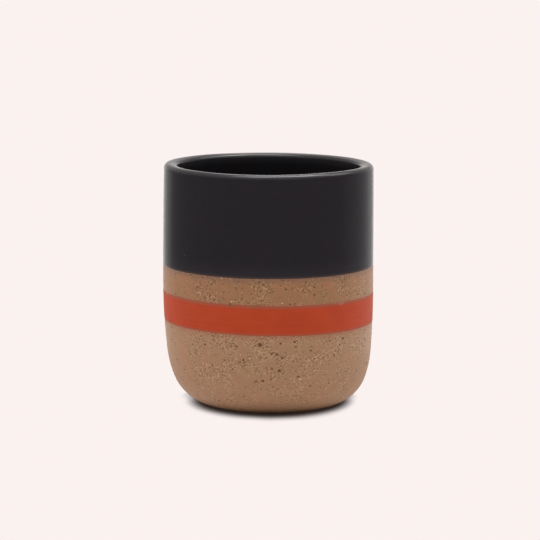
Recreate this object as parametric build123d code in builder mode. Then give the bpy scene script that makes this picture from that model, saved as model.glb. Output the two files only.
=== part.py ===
from build123d import *
import os
from math import asin, cos, radians, sin, sqrt

# A handleless stoneware cup. Its lower part is bare speckled clay with an orange band painted round the belly,
# and its upper wall, lip and inside carry a dark glaze. The axis is Z and the foot stands on z = 0.
# The section of the clay is drawn once as an outer side, an inner side and an underside, all of tangent arcs,
# and each coat is a skin on a stretch of the outer or the inner side. Lengths are in millimetres.

os.makedirs("parts", exist_ok=True)

# Overall height of the finished cup, with its glaze on
height = 94.0

# The outer side of the clay, from the foot up to the belly, which is its widest place. The heel leaves the foot
# at the rise angle, in degrees, and takes its share of the turn up into the haunch.
foot_radius = 25.4
foot_rise_angle = 11.9
haunch_height = 21.7
belly_radius = 41.0
belly_height = 47.7
wall_bend_radius = 331.0
heel_share = 0.62

# How far the glazed rim is drawn in from the belly, and the round of the lip's outer shoulder. The inner shoulder
# takes the rest of the wall's thickness.
rim_draw_in = 0.1
lip_outer_round = 1.8

# The clay's thickness, and the round of the well where the floor turns up into the wall inside
wall_thickness = 4.8
floor_thickness = 5.0
well_radius = 17.25

# The foot ring on the underside, the shallow recess that is trimmed inside it, and the slope of the recess's side
foot_ring_width = 4.8
recess_depth = 1.2
recess_slope_width = 1.6

# The coats, and the bevels where their edges run out on the clay
glaze_thickness = 0.2
glaze_edge_bevel = 0.15
dip_line_height = 54.9
band_thickness = 0.15
band_edge_bevel = 0.1
band_bottom_height = 32.9
band_width = 11.4


def meeting_point(start, leaving, end, arriving, first_share):
    """Return the point where two tangent arcs meet on their way from start to end.

    The first arc leaves start in the direction leaving, and the second reaches end in the direction arriving.
    The tangents at start, at the meeting point and at end make a bent line, and first_share is the share of its
    middle run that belongs to the first arc.
    """
    ratio = first_share / (1 - first_share)
    chord = end - start
    bend = 2 * ratio * (1 - leaving.dot(arriving))
    reach = ratio * chord.dot(leaving) + chord.dot(arriving)
    last_run = (sqrt(reach**2 + bend * chord.dot(chord)) - reach) / bend
    first_corner = start + leaving * (ratio * last_run)
    last_corner = end - arriving * last_run
    return first_corner + (last_corner - first_corner) * first_share


def lip_root(widest, crown, lip_round):
    """Return the point where a wall that is upright at widest runs into the lip's round below crown.

    lip_round is the round's radius on the outer side of the clay, and less than zero on its inner side.
    """
    across = widest.X - crown.X
    rise = crown.Y - abs(lip_round) - widest.Y
    wall_radius = (across**2 + rise**2 - lip_round**2) / (2 * (across - lip_round))
    lean = asin(rise / (wall_radius - lip_round))
    return widest + Vector(wall_radius * (cos(lean) - 1), wall_radius * sin(lean))


# Places on the outer side of the clay
rim_radius = belly_radius - rim_draw_in
crown = Vector(rim_radius - glaze_thickness - lip_outer_round, height - glaze_thickness)
belly_point = Vector(belly_radius, belly_height)
outer_lip_root = lip_root(belly_point, crown, lip_outer_round)
haunch_lean = asin((belly_height - haunch_height) / wall_bend_radius)
haunch_direction = Vector(sin(haunch_lean), cos(haunch_lean))
haunch_radius = belly_radius - wall_bend_radius * (1 - cos(haunch_lean))
foot_edge = Vector(foot_radius, 0)
foot_direction = Vector(cos(radians(foot_rise_angle)), sin(radians(foot_rise_angle)))
haunch_point = Vector(haunch_radius, haunch_height)
heel_top = meeting_point(foot_edge, foot_direction, haunch_point, haunch_direction, heel_share)

# Places on the inner side of the clay. The well's round touches the floor and the inner wall's arc.
floor_height = recess_depth + floor_thickness
inner_belly = belly_point - Vector(wall_thickness, 0)
inner_lip_root = lip_root(inner_belly, crown, lip_outer_round - wall_thickness)
inner_bend_radius = wall_bend_radius - wall_thickness
well_lean = asin((belly_height - floor_height - well_radius) / (inner_bend_radius - well_radius))
well_top = inner_belly + Vector(inner_bend_radius * (cos(well_lean) - 1), -inner_bend_radius * sin(well_lean))
floor_edge = Vector(well_top.X - well_radius * cos(well_lean), floor_height)

# The two sides and the underside of the clay's section
with BuildLine() as outer_side:
    heel = TangentArc(foot_edge, heel_top, tangent=foot_direction)
    haunch = TangentArc(heel @ 1, haunch_point, tangent=heel % 1)
    wall = TangentArc(haunch @ 1, belly_point, tangent=haunch % 1)
    upper_wall = TangentArc(wall @ 1, outer_lip_root, tangent=wall % 1)
    TangentArc(upper_wall @ 1, crown, tangent=upper_wall % 1)

with BuildLine() as inner_side:
    floor = Line((0, floor_height), floor_edge)
    well = TangentArc(floor @ 1, well_top, tangent=floor % 1)
    inner_wall = TangentArc(well @ 1, inner_belly, tangent=well % 1)
    inner_upper_wall = TangentArc(inner_wall @ 1, inner_lip_root, tangent=inner_wall % 1)
    TangentArc(inner_upper_wall @ 1, crown, tangent=inner_upper_wall % 1)

recess_radius = foot_radius - foot_ring_width
with BuildLine() as underside:
    Polyline(
        (0, recess_depth),
        (recess_radius - recess_slope_width, recess_depth),
        (recess_radius, 0),
        foot_edge,
    )


def skin_section(side_line, thickness, side):
    """Return the section of a coat that lies all along one side of the clay."""
    with BuildSketch() as skin:
        with BuildLine():
            add(side_line)
            offset(amount=thickness, side=side)
        make_face()
    return skin.sketch


def keep_between(bottom, top):
    """Keep what lies between two heights in the section that is being drawn."""
    with Locations((0, bottom)):
        Rectangle(2 * belly_radius, top - bottom, align=(Align.MIN, Align.MIN), mode=Mode.INTERSECT)


def outer_corner(section, level):
    """Return the outermost corner on the lowest (0) or the highest (-1) level of a coat's section."""
    return section.vertices().group_by(Axis.Y)[level].sort_by(Axis.X)[-1]


with BuildPart() as stoneware_body:
    with BuildSketch(Plane.XZ):
        with BuildLine():
            add(outer_side.line)
            add(inner_side.line)
            add(underside.line)
            Line((0, recess_depth), (0, floor_height))
        make_face()
    revolve(axis=Axis.Z)
stoneware_body.part.label = "stoneware_body"
export_step(stoneware_body.part, "parts/stoneware_body.step")

with BuildPart() as outer_glaze:
    with BuildSketch(Plane.XZ) as dipped_section:
        add(skin_section(outer_side.line, glaze_thickness, Side.RIGHT))
        keep_between(dip_line_height, height + glaze_thickness)
        chamfer(outer_corner(dipped_section, 0), length=glaze_edge_bevel)
    revolve(axis=Axis.Z)
outer_glaze.part.label = "outer_glaze"
export_step(outer_glaze.part, "parts/outer_glaze.step")

with BuildPart() as liner_glaze:
    with BuildSketch(Plane.XZ):
        add(skin_section(inner_side.line, glaze_thickness, Side.LEFT))
    revolve(axis=Axis.Z)
liner_glaze.part.label = "liner_glaze"
export_step(liner_glaze.part, "parts/liner_glaze.step")

with BuildPart() as orange_band:
    with BuildSketch(Plane.XZ) as band_section:
        add(skin_section(outer_side.line, band_thickness, Side.RIGHT))
        keep_between(band_bottom_height, band_bottom_height + band_width)
        chamfer([outer_corner(band_section, level) for level in (0, -1)], length=band_edge_bevel)
    revolve(axis=Axis.Z)
orange_band.part.label = "orange_band"
export_step(orange_band.part, "parts/orange_band.step")
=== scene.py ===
"""Looks of a handleless stoneware cup: thrown clay, a painted band and a dark glaze.

Lengths are in metres and angles in radians.
"""

import logging
import math
from dataclasses import dataclass
from enum import Enum

import bmesh
import bpy
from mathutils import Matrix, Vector, noise
from mathutils.bvhtree import BVHTree


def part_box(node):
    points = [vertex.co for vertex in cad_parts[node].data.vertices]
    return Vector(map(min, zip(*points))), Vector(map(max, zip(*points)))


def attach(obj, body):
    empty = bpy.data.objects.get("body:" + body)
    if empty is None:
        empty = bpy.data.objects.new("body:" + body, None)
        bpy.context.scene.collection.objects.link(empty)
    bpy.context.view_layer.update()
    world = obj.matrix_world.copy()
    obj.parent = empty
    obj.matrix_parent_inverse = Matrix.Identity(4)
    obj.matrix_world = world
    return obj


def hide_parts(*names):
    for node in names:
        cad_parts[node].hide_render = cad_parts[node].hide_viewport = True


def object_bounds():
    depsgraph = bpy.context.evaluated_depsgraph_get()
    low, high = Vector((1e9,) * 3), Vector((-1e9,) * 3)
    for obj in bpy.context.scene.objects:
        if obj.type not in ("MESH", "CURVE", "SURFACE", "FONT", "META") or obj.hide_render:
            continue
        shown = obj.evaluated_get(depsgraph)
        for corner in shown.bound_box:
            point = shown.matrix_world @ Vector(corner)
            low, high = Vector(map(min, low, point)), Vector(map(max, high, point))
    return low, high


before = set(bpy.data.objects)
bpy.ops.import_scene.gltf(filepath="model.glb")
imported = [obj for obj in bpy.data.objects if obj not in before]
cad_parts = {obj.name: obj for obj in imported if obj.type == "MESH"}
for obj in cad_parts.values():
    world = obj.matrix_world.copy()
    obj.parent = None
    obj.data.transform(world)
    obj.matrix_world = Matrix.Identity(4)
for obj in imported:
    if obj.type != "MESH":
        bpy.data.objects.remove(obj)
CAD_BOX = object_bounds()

MM = 0.001
BODY = "root"
LOG = logging.getLogger("cup")
Colour = tuple[float, float, float, float]

# Under these, a stretch counts as straight, a radius as zero, and two points as one
STRAIGHT = 1e-6
HAIR = 0.01 * MM
WELD = 0.001 * MM

# How often a search is halved, and the angle past which a turned edge is sharp
HALVINGS = 50
SHARP_ANGLE = math.radians(35)

# How suddenly the rim and the shadow change towards the cup's left and right ends
END_POWER = 4.0

# The middle of a share or of a relief
MIDDLE = 0.5

# The numbers of sockets that share their names with others on the same node
MIX_SHARE, MIX_FIRST, MIX_SECOND, MIX_RESULT = 0, 6, 7, 2
RANDOM_LEAST, RANDOM_MOST, RANDOM_NUMBER = 2, 3, 1


class Side(Enum):
    """The side of a path on which its coat lies, for one who walks along the path."""

    RIGHT = -1
    LEFT = 1


def left_of(heading: Vector) -> Vector:
    """Return the heading turned a quarter to the left."""
    return Vector((-heading.y, heading.x))


@dataclass(frozen=True)
class Arc:
    """A straight or round stretch of the section that leaves its start along a given heading."""

    start: Vector
    end: Vector
    heading: Vector

    @property
    def half_turn(self) -> float:
        """Half of the angle that the stretch turns to the left."""
        chord = self.end - self.start
        return math.atan2(chord.dot(left_of(self.heading)), chord.dot(self.heading))

    @property
    def length(self) -> float:
        """The length of the stretch."""
        chord = (self.end - self.start).length
        half = self.half_turn
        return chord if abs(half) < STRAIGHT else chord * half / math.sin(half)

    def at(self, share: float) -> tuple[Vector, Vector]:
        """Return the point and the heading at a share of the stretch.

        Args:
            share: How far along the stretch, from 0 to 1.

        Returns:
            The point, and the unit vector along the stretch there.
        """
        left = left_of(self.heading)
        turned = 2 * self.half_turn * share
        ahead = self.heading * math.cos(turned) + left * math.sin(turned)
        chord = self.end - self.start
        if abs(self.half_turn) < STRAIGHT:
            return self.start + chord * share, ahead
        radius = chord.length / (2 * math.sin(self.half_turn))
        return self.start + (self.heading * math.sin(turned) + left * (1 - math.cos(turned))) * radius, ahead


@dataclass(frozen=True)
class Path:
    """A run of arcs, each of which leaves its start as the last one arrives."""

    arcs: tuple[Arc, ...]
    side: Side

    @classmethod
    def through(cls, start: Vector, heading: Vector, ends: list[Vector], side: Side) -> "Path":
        """Return the path of tangent arcs from a start through further points.

        Args:
            start: The first point.
            heading: The unit vector along which the path leaves it.
            ends: The point that each arc reaches.
            side: The side of the path on which a coat lies.

        Returns:
            The path.
        """
        arcs = []
        for end in ends:
            arcs.append(Arc(start, end, heading))
            start, heading = end, arcs[-1].at(1)[1]
        return cls(tuple(arcs), side)

    @property
    def length(self) -> float:
        """The length of the whole path."""
        return sum(arc.length for arc in self.arcs)

    def lifted(self, distance: float, lift: float) -> Vector:
        """Return the point at a distance along the path, lifted off it on its coat's side.

        Args:
            distance: The distance along the path.
            lift: How far the point lies off the path.

        Returns:
            The point, as radius and height.
        """
        for arc in self.arcs:
            if distance <= arc.length or arc is self.arcs[-1]:
                point, ahead = arc.at(min(distance / arc.length, 1.0))
                return point + left_of(ahead) * (lift * self.side.value)
            distance -= arc.length
        raise ValueError("a path has at least one arc")

    def distance_at(self, height: float) -> float:
        """Return the distance along a rising path at which it reaches a height.

        Args:
            height: A height between the path's two ends.

        Returns:
            The distance.
        """
        low, high = 0.0, self.length
        for _ in range(HALVINGS):
            middle = (low + high) / 2
            low, high = (middle, high) if self.lifted(middle, 0).y < height else (low, middle)
        return low

    def stations(self, start: float, end: float, step: float, turn: float) -> list[float]:
        """Return distances from start to end, close enough for the path's curves.

        The path's own marks are left out where they are within a tenth of a step of either end.

        Args:
            start: The first distance.
            end: The last distance.
            step: The longest step between two distances.
            turn: The largest turn between two distances, in radians.

        Returns:
            The distances in order, with both ends.
        """
        marks, passed = [start], 0.0
        for arc in self.arcs:
            count = max(1, math.ceil(arc.length / step), math.ceil(2 * abs(arc.half_turn) / turn))
            marks += [passed + arc.length * i / count for i in range(1, count + 1)]
            passed += arc.length
        gap = step / 10
        inside = [mark for mark in marks[1:] if start + gap < mark < end - gap]
        return [start, *inside, end]


@dataclass(frozen=True)
class CupSection:
    """The section of the clay in the plane of radius and height, with the sizes of the CAD model."""

    height: float
    belly_radius: float
    foot_radius: float = 25.4 * MM
    foot_rise: float = math.radians(11.9)
    haunch_height: float = 21.7 * MM
    belly_height: float = 47.7 * MM
    wall_bend_radius: float = 331.0 * MM
    heel_share: float = 0.62
    rim_draw_in: float = 0.1 * MM
    lip_outer_round: float = 1.8 * MM
    wall_thickness: float = 4.8 * MM
    floor_thickness: float = 5.0 * MM
    well_radius: float = 17.25 * MM
    foot_ring_width: float = 4.8 * MM
    recess_depth: float = 1.2 * MM
    recess_slope_width: float = 1.6 * MM
    lip_top_bend: float = 8.0 * MM
    lip_top_lean: float = math.radians(15)
    glaze_thickness: float = 0.2 * MM
    band_thickness: float = 0.18 * MM
    clay_swell: float = 0.13 * MM
    swell_from: float = 5.0 * MM
    swell_over: float = 35.0 * MM

    def swell(self, height: float) -> float:
        """Return how far the bare clay stands out at a height, so that its coats hardly stand off it."""
        share = min(max((height - self.swell_from) / self.swell_over, 0.0), 1.0)
        return self.clay_swell * share * share * (3 - 2 * share)

    @property
    def crown(self) -> Vector:
        """The highest point of the clay's lip."""
        across = self.belly_radius - self.rim_draw_in - self.glaze_thickness - self.lip_outer_round
        return Vector((across, self.height - self.glaze_thickness))

    @property
    def inner_shoulder(self) -> tuple[Vector, float]:
        """The place where the lip's sloping top turns down inside, and the radius of that turn."""
        lean = math.sin(self.lip_top_lean)
        radius = (self.wall_thickness - self.lip_outer_round - self.lip_top_bend * lean) / (1 - lean)
        drop = self.lip_top_bend * (1 - math.cos(self.lip_top_lean))
        return self.crown - Vector((self.lip_top_bend * lean, drop)), radius

    @staticmethod
    def lip_root(widest: Vector, top: Vector, lip_round: float) -> Vector:
        """Return the point where a wall that is upright at its widest runs into the lip's round.

        Args:
            widest: The wall's widest point.
            top: The highest point of the round.
            lip_round: The round's radius, less than zero on the inner side.

        Returns:
            The point where the two arcs touch.
        """
        across = widest.x - top.x
        rise = top.y - abs(lip_round) - widest.y
        wall_radius = (across**2 + rise**2 - lip_round**2) / (2 * (across - lip_round))
        lean = math.asin(rise / (wall_radius - lip_round))
        return widest + Vector((wall_radius * (math.cos(lean) - 1), wall_radius * math.sin(lean)))

    def meeting_point(self, start: Vector, leaving: Vector, end: Vector, arriving: Vector) -> Vector:
        """Return the point where the heel's arc hands over to the haunch's arc.

        Args:
            start: The edge of the foot.
            leaving: The heading there.
            end: The top of the haunch.
            arriving: The heading there.

        Returns:
            The point, set by the heel's share of the turn.
        """
        ratio = self.heel_share / (1 - self.heel_share)
        chord = end - start
        bend = 2 * ratio * (1 - leaving.dot(arriving))
        reach = ratio * chord.dot(leaving) + chord.dot(arriving)
        last_run = (math.sqrt(reach**2 + bend * chord.dot(chord)) - reach) / bend
        first_corner = start + leaving * (ratio * last_run)
        return first_corner.lerp(end - arriving * last_run, self.heel_share)

    @property
    def outer_side(self) -> Path:
        """The outer side of the clay, from the foot up to the crown of the lip."""
        belly = Vector((self.belly_radius, self.belly_height))
        lean = math.asin((self.belly_height - self.haunch_height) / self.wall_bend_radius)
        haunch_radius = self.belly_radius - self.wall_bend_radius * (1 - math.cos(lean))
        haunch = Vector((haunch_radius, self.haunch_height))
        arriving = Vector((math.sin(lean), math.cos(lean)))
        foot = Vector((self.foot_radius, 0))
        leaving = Vector((math.cos(self.foot_rise), math.sin(self.foot_rise)))
        heel_top = self.meeting_point(foot, leaving, haunch, arriving)
        root = self.lip_root(belly, self.crown, self.lip_outer_round)
        return Path.through(foot, leaving, [heel_top, haunch, belly, root, self.crown], Side.RIGHT)

    @property
    def inner_side(self) -> Path:
        """The inner side of the clay, from the middle of the floor up to the crown of the lip."""
        floor = self.recess_depth + self.floor_thickness
        belly = Vector((self.belly_radius - self.wall_thickness, self.belly_height))
        bend = self.wall_bend_radius - self.wall_thickness
        lean = math.asin((self.belly_height - floor - self.well_radius) / (bend - self.well_radius))
        well_top = belly + Vector((bend * (math.cos(lean) - 1), -bend * math.sin(lean)))
        floor_edge = Vector((well_top.x - self.well_radius * math.cos(lean), floor))
        shoulder, radius = self.inner_shoulder
        top = shoulder + Vector((math.sin(self.lip_top_lean), 1 - math.cos(self.lip_top_lean))) * radius
        root = self.lip_root(belly, top, -radius)
        ends = [floor_edge, well_top, belly, root, shoulder, self.crown]
        return Path.through(Vector((0, floor)), Vector((1, 0)), ends, Side.LEFT)

    @property
    def underside(self) -> list[Vector]:
        """The corners of the underside, from the axis out to the foot ring."""
        ring = self.foot_radius - self.foot_ring_width
        slope_top = Vector((ring - self.recess_slope_width, self.recess_depth))
        ring_middle = Vector((ring + self.foot_ring_width / 2, 0))
        return [Vector((0, self.recess_depth)), slope_top, Vector((ring, 0)), ring_middle]


@dataclass(frozen=True)
class Graining:
    """How finely a section is divided where it shows and where it is covered."""

    shown_step: float = 0.6 * MM
    covered_step: float = 2.5 * MM
    shown_turn: float = math.radians(3.5)
    covered_turn: float = math.radians(15)


@dataclass(frozen=True)
class Coat:
    """A skin that lies on a stretch of the clay and runs out in a soft roll at its open ends."""

    path: Path
    start: float
    end: float
    thickness: float
    roll: float
    start_open: bool = False
    end_open: bool = False
    graining: Graining = Graining()
    roll_steps: int = 6

    def lift(self, distance: float) -> float:
        """Return how far the coat's face lies off the clay.

        Args:
            distance: The distance along the path.

        Returns:
            The lift there.
        """
        gaps = [distance - self.start] * self.start_open + [self.end - distance] * self.end_open
        share = min([1.0, *(max(gap, 0.0) / self.roll for gap in gaps)])
        return self.thickness * math.sqrt(1 - (1 - share) ** 2)

    def outline(self) -> list[Vector]:
        """Return the closed outline of the coat's section.

        Returns:
            The points of its face and its back, with the first one again at the end.
        """
        grain = self.graining
        roll_shares = [(i / self.roll_steps) ** 2 for i in range(self.roll_steps + 1)]
        marks = self.path.stations(self.start, self.end, grain.shown_step, grain.shown_turn)
        first, last = [self.start], [self.end]
        if self.start_open:
            first = [self.start + self.roll * share for share in roll_shares]
        if self.end_open:
            last = [self.end - self.roll * share for share in reversed(roll_shares)]
        middle = [mark for mark in marks if first[-1] + self.roll / 2 < mark < last[0] - self.roll / 2]
        face = [self.path.lifted(mark, self.lift(mark)) for mark in [*first, *middle, *last]]
        back_marks = self.path.stations(self.start, self.end, grain.covered_step, grain.covered_turn)
        back = [self.path.lifted(mark, 0) for mark in reversed(back_marks)]
        if self.start_open:
            back.pop()
        if self.end_open:
            back.pop(0)
        return [*face, *back, face[0]]


@dataclass(frozen=True)
class Passage:
    """A soft passage from a first value to a last one, while some number goes from a start to an end."""

    start: float
    end: float
    first: float = 1.0
    last: float = 0.0


class Graph:
    """A node tree under construction, with short ways to add nodes and to feed their sockets."""

    def __init__(self, tree: bpy.types.NodeTree) -> None:
        """Keep the tree that is built.

        Args:
            tree: The tree of a material, the world or a node group.
        """
        self.tree = tree
        self.takes: dict[str, "Number"] = {}
        self.sink: bpy.types.Node | None = None

    @classmethod
    def group(cls, name: str, kind: str, takes: dict[str, tuple], gives: dict[str, str]) -> "Graph":
        """Start a node group.

        Args:
            name: The group's name.
            kind: ShaderNodeTree or GeometryNodeTree.
            takes: The inputs, each with its socket type and its default or None.
            gives: The outputs, each with its socket type.

        Returns:
            The graph of the new group.
        """
        graph = cls(bpy.data.node_groups.new(name, kind))
        for label, (socket_type, default) in takes.items():
            made = graph.tree.interface.new_socket(label, in_out="INPUT", socket_type=socket_type)
            if default is not None:
                made.default_value = default
        for label, socket_type in gives.items():
            graph.tree.interface.new_socket(label, in_out="OUTPUT", socket_type=socket_type)
        source = graph.add("NodeGroupInput")
        graph.takes = {label: Number(graph, source.outputs[label]) for label in takes}
        graph.sink = graph.add("NodeGroupOutput")
        return graph

    def give(self, label: str, value: object) -> None:
        """Feed one of the group's outputs."""
        self.feed(self.sink.inputs[label], value)

    def dress(self, geometry: object) -> None:
        """Make a geometry real, give it the group's material and put it out.

        Args:
            geometry: The geometry, which may hold instances.
        """
        real = self.add("GeometryNodeRealizeInstances", {0: geometry})
        dressing = {"Geometry": real.outputs[0], "Material": self.takes["Material"]}
        self.give("Geometry", self.add("GeometryNodeSetMaterial", dressing).outputs[0])

    def add(self, kind: str, feeds: dict | None = None, **settings: object) -> bpy.types.Node:
        """Add a node.

        Args:
            kind: The node's type.
            feeds: The values or sources of its inputs, by name or number.
            settings: The node's own settings.

        Returns:
            The node.
        """
        node = self.tree.nodes.new(kind)
        for name, value in settings.items():
            setattr(node, name, value)
        for key, value in (feeds or {}).items():
            self.feed(node.inputs[key], value)
        return node

    def feed(self, socket: bpy.types.NodeSocket, value: object) -> None:
        """Link a socket to a source, or set its own value.

        Args:
            socket: The socket of an input.
            value: A number or a socket to link, or else a plain value.
        """
        if isinstance(value, Number):
            value = value.socket
        if isinstance(value, bpy.types.NodeSocket):
            self.tree.links.new(value, socket)
        else:
            socket.default_value = value

    def number(self, node: bpy.types.Node, output: int | str = 0) -> "Number":
        """Return one of a node's outputs as a number for formulas."""
        return Number(self, node.outputs[output])

    def axes(self, vector: object) -> tuple["Number", "Number", "Number"]:
        """Return the three parts of a vector."""
        parts = self.add("ShaderNodeSeparateXYZ", {0: vector})
        return self.number(parts, 0), self.number(parts, 1), self.number(parts, 2)

    def vector(self, x: object, y: object, z: object) -> "Number":
        """Return a vector made of three numbers."""
        return self.number(self.add("ShaderNodeCombineXYZ", {0: x, 1: y, 2: z}))

    def blend(self, share: object, first: object, second: object, how: str = "MIX") -> "Number":
        """Return a mix of two colours.

        Args:
            share: The share of the second colour.
            first: The first colour.
            second: The second colour.
            how: The way in which the colours mix.

        Returns:
            The mixed colour.
        """
        feeds = {MIX_SHARE: share, MIX_FIRST: first, MIX_SECOND: second}
        return self.number(self.add("ShaderNodeMix", feeds, data_type="RGBA", blend_type=how), MIX_RESULT)

    def noise(self, feeds: dict, dimensions: str = "3D") -> "Number":
        """Return a noise that swings round zero, mostly between -1 and 1."""
        node = self.add("ShaderNodeTexNoise", feeds, noise_dimensions=dimensions)
        return (self.number(node) - MIDDLE) * 2


@dataclass(frozen=True)
class Number:
    """An output of a node, so that formulas read as sums."""

    graph: Graph
    socket: bpy.types.NodeSocket

    def math(self, operation: str, *others: object) -> "Number":
        """Return the result of a math node on this number and others."""
        feeds = dict(enumerate((self, *others)))
        return self.graph.number(self.graph.add("ShaderNodeMath", feeds, operation=operation))

    def __add__(self, other: object) -> "Number":
        """Return the sum."""
        return self.math("ADD", other)

    def __sub__(self, other: object) -> "Number":
        """Return the difference."""
        return self.math("SUBTRACT", other)

    def __mul__(self, other: object) -> "Number":
        """Return the product."""
        return self.math("MULTIPLY", other)

    def __truediv__(self, other: object) -> "Number":
        """Return the quotient."""
        return self.math("DIVIDE", other)

    def inverse(self) -> "Number":
        """Return one over this number."""
        return self.math("POWER", -1.0)

    def size(self) -> "Number":
        """Return the number without its sign."""
        return self.math("ABSOLUTE")

    def passing(self, start: object, end: object, first: float = 1.0, last: float = 0.0) -> "Number":
        """Return a number that changes softly while this one goes from a start to an end.

        Args:
            start: Where this number starts to count.
            end: Where it stops.
            first: The result up to the start.
            last: The result from the end on.

        Returns:
            The result.
        """
        ramp = self.graph.add("ShaderNodeMapRange", {
            "Value": self, "From Min": start, "From Max": end, "To Min": first, "To Max": last,
        }, interpolation_type="SMOOTHSTEP")
        return self.graph.number(ramp)

    def along(self, passage: Passage) -> "Number":
        """Return the value of a passage at this number."""
        return self.passing(passage.start, passage.end, passage.first, passage.last)


def make_mesh(source: bpy.types.Mesh, tree: bpy.types.NodeTree, values: dict[str, object]) -> bpy.types.Mesh:
    """Return the plain mesh that a geometry node tree makes of a source mesh.

    Args:
        source: The mesh that goes into the tree.
        tree: The geometry node tree.
        values: The tree's other inputs, by name.

    Returns:
        The mesh, with its instances made real.
    """
    carrier = bpy.data.objects.new(tree.name, source)
    bpy.context.scene.collection.objects.link(carrier)
    modifier = carrier.modifiers.new(tree.name, "NODES")
    modifier.node_group = tree
    for label, value in values.items():
        modifier[tree.interface.items_tree[label].identifier] = value
    evaluated = carrier.evaluated_get(bpy.context.evaluated_depsgraph_get())
    made = bpy.data.meshes.new_from_object(evaluated)
    carrier.modifiers.remove(modifier)
    bpy.data.objects.remove(carrier)
    return made


def finish_piece(name: str, mesh: bpy.types.Mesh, replaced: str | None = None) -> bpy.types.Object:
    """Put a mesh in the scene as a piece of the cup.

    Args:
        name: The piece's name.
        mesh: Its mesh, in place.
        replaced: The CAD node that it stands for, if there is one.

    Returns:
        The piece.
    """
    mesh.name = name
    piece = bpy.data.objects.new(name, mesh)
    bpy.context.scene.collection.objects.link(piece)
    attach(piece, BODY)
    if replaced:
        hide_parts(replaced)
    LOG.info("%s: %d faces", name, len(mesh.polygons))
    return piece


class Marks:
    """Sizes that a tree takes as inputs, each under its own name."""

    def values(self) -> dict[str, float]:
        """Return the sizes by the names of the tree's inputs."""
        return {name.replace("_", " ").title(): value for name, value in vars(self).items()}

    def inputs(self) -> dict[str, tuple[str, float]]:
        """Return the tree's inputs for these sizes."""
        return {label: ("NodeSocketFloat", value) for label, value in self.values().items()}


@dataclass(frozen=True)
class HandMarks(Marks):
    """What the potter's hand leaves: a bowed axis, a tilted rim, an oval mouth and throwing rings."""

    foot_drift: float = 1.25 * MM
    rim_drift: float = 0.25 * MM
    still_height: float = 60.0 * MM
    rim_fall: float = 0.008
    rim_nod: float = 0.009
    oval: float = 0.15 * MM
    ring_depth: float = 0.035 * MM
    ring_pitch: float = 3.2 * MM
    rim_wave: float = 0.12 * MM
    rim_ends: float = 0.28 * MM
    rim_lift: float = 0.32 * MM
    lift_angle: float = math.radians(-48)
    lift_spread: float = math.radians(42)


def rim_run(graph: Graph, place: Number, radius: object, marks: dict[str, object]) -> Number:
    """Return how far the rim runs above its own height at a place round the cup.

    Args:
        graph: The tree that works it out.
        place: The place.
        radius: The radius of the cup.
        marks: The hand's marks by name, as inputs or as plain values.

    Returns:
        The rise of the rim.
    """
    x, y, _ = graph.axes(place)
    tilt = x * marks["Rim Fall"] + y * marks["Rim Nod"]
    ends = (x / radius).math("POWER", END_POWER) * marks["Rim Ends"]
    aside = (y.math("ARCTAN2", x) - marks["Lift Angle"]).size()
    lift = aside.passing(0.0, marks["Lift Spread"]) * marks["Rim Lift"]
    return ends + lift - tilt


class Edge(Enum):
    """The two edges of a coat, each with the seed of its own wave."""

    LOWER = 1.3
    UPPER = 8.9


def edge_run(graph: Graph, place: Number, seed: object, wave: object, fall: object) -> Number:
    """Return how far an edge of a coat runs above its own height at a place round the cup.

    Args:
        graph: The tree that works it out.
        place: The place.
        seed: The seed of the edge's wave.
        wave: How far the wave goes up and down.
        fall: How much the edge falls towards the right.

    Returns:
        The rise of the edge.
    """
    x, y, _ = graph.axes(place)
    radius = (x * x + y * y).math("SQRT").math("MAXIMUM", HAIR)
    run = graph.noise({
        "Vector": graph.vector(x / radius, y / radius, seed), "Scale": 4.0, "Detail": 4.0, "Roughness": 0.6,
    })
    return run * wave - x * fall


@dataclass(frozen=True)
class EdgeMarks(Marks):
    """How the lower and the upper edge of a coat run round the cup."""

    lower_edge: float = -1.0
    upper_edge: float = -1.0
    edge_reach: float = 3.0 * MM
    lower_fall: float = 0.0
    upper_fall: float = 0.0
    edge_wave: float = 0.0
    notch_angle: float = 0.0
    notch_width: float = 1.0 * MM
    notch_depth: float = 0.0


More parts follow.
